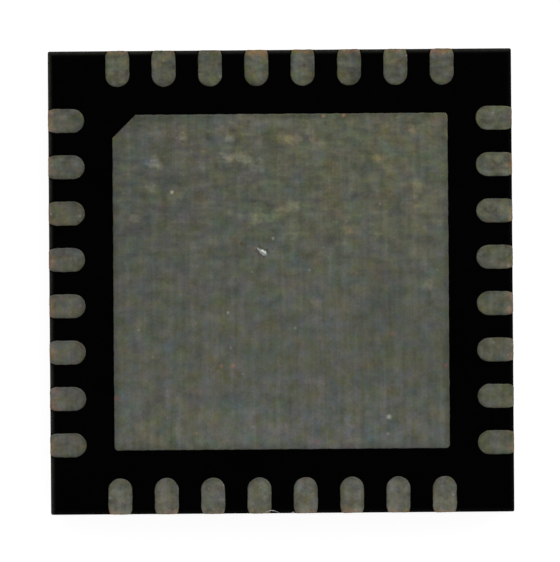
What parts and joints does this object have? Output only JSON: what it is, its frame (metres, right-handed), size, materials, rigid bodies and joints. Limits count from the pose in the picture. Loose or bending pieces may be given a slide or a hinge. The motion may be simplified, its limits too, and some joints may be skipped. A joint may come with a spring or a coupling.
{
  "type": "qfn chip",
  "caption": "Square leadless chip package with a black moulded body, rows of round-ended solder lands along all sides and a large solder pad with a chamfered corner.",
  "frame": {"origin": "centre of the flat marking face, on which the part lies", "axes": "+Z out of the terminal side; +X and +Y along the body's sides, with terminal 1 and the pad's chamfered corner at -X +Y"},
  "size_m": [0.005, 0.005, 0.0009],
  "materials": {
    "mould": "matte, finely grained black epoxy moulding compound, sawn on the sides",
    "tinned_copper": "matte tin plate on copper alloy, greenish grey, bare copper on the sawn ends",
    "die_adhesive": "silver-filled adhesive, satin",
    "silicon": "polished grey silicon",
    "gold_wire": "bright drawn gold"
  },
  "bodies": {
    "root": {"mould_body": "mould", "die_pad": "tinned_copper", "die_attach": "die_adhesive", "die": "silicon", "terminal_01": "tinned_copper", "terminal_02": "tinned_copper", "terminal_03": "tinned_copper", "terminal_04": "tinned_copper", "terminal_05": "tinned_copper", "terminal_06": "tinned_copper", "terminal_07": "tinned_copper", "terminal_08": "tinned_copper", "terminal_09": "tinned_copper", "terminal_10": "tinned_copper", "terminal_11": "tinned_copper", "terminal_12": "tinned_copper", "terminal_13": "tinned_copper", "terminal_14": "tinned_copper", "terminal_15": "tinned_copper", "terminal_16": "tinned_copper", "terminal_17": "tinned_copper", "terminal_18": "tinned_copper", "terminal_19": "tinned_copper", "terminal_20": "tinned_copper", "terminal_21": "tinned_copper", "terminal_22": "tinned_copper", "terminal_23": "tinned_copper", "terminal_24": "tinned_copper", "terminal_25": "tinned_copper", "terminal_26": "tinned_copper", "terminal_27": "tinned_copper", "terminal_28": "tinned_copper", "terminal_29": "tinned_copper", "terminal_30": "tinned_copper", "terminal_31": "tinned_copper", "terminal_32": "tinned_copper", "bond_wires_side_1": "gold_wire", "bond_wires_side_2": "gold_wire", "bond_wires_side_3": "gold_wire", "bond_wires_side_4": "gold_wire"}
  },
  "joints": []
}
